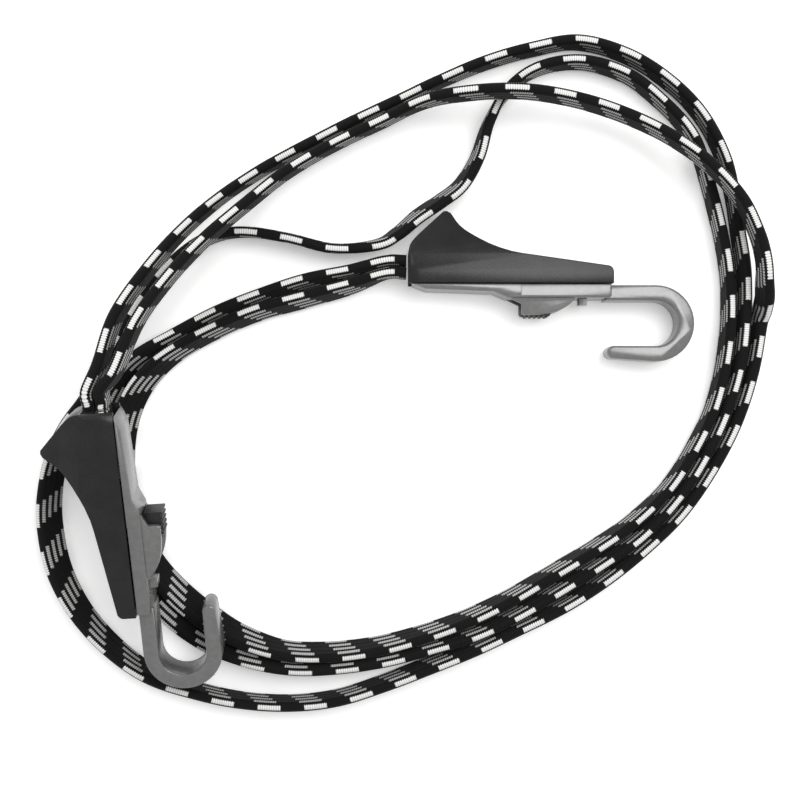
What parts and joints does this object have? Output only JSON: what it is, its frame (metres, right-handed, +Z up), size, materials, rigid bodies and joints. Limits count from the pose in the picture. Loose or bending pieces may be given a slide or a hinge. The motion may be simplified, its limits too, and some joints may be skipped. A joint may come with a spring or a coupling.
{
  "type": "bungee cord",
  "caption": "Flat elastic strap lying in loose turns, its ends each held by an adjustable J-shaped hook with a grip cover and a ribbed release slider.",
  "frame": {"origin": "under the middle of the box round the two hooks, on the surface that the cord lies on", "axes": "+X along hook one from its grip towards its J, +Z up from the surface, +Y away from the viewer of a picture taken from above"},
  "size_m": [0.2833, 0.2615, 0.0526],
  "materials": {
    "grip": "satin moulded",
    "nylon": "satin moulded",
    "steel": "zinc plated",
    "slider": "satin moulded",
    "strap": "woven"
  },
  "bodies": {
    "base": {"hook_body_one": "nylon", "hook_body_two": "nylon", "grip_cover_one": "grip", "grip_cover_two": "grip", "turn_bar_one": "steel", "turn_bar_two": "steel", "rocker_pin_one": "steel", "rocker_pin_two": "steel", "cover_screw_one": "steel", "cover_screw_two": "steel", "strap_turn_one": "strap", "strap_turn_two": "strap", "strap_long": "strap", "strap_short": "strap"},
    "slider_one": {"release_slider_one": "slider"},
    "slider_two": {"release_slider_two": "slider"},
    "rocker_one": {"lock_rocker_one": "steel"},
    "rocker_two": {"lock_rocker_two": "steel"}
  },
  "joints": [
    {"name": "slider_one_slide", "type": "slide", "parent": "base", "child": "slider_one", "axis": [-1, 0, 0], "range_m": [0, 0.006]},
    {"name": "rocker_one_lift", "type": "hinge", "parent": "base", "child": "rocker_one", "pos_m": [0.02104, 0.07951, 0.0087], "axis": [0, 0, 1], "range_deg": [0, 3.12]},
    {"name": "slider_two_slide", "type": "slide", "parent": "base", "child": "slider_two", "axis": [-0.0524, 0.9646, 0.2583], "range_m": [-0.006, 0]},
    {"name": "rocker_two_lift", "type": "hinge", "parent": "base", "child": "rocker_two", "pos_m": [-0.10984, 0.00486, 0.04271], "axis": [-0.0489, 0.2559, -0.9655], "range_deg": [-3.12, 0]}
  ],
  "couplings": [
    {"joint": "rocker_one_lift", "follows": "slider_one_slide", "rad_per_m": 9.0757},
    {"joint": "rocker_two_lift", "follows": "slider_two_slide", "rad_per_m": 9.0757}
  ]
}
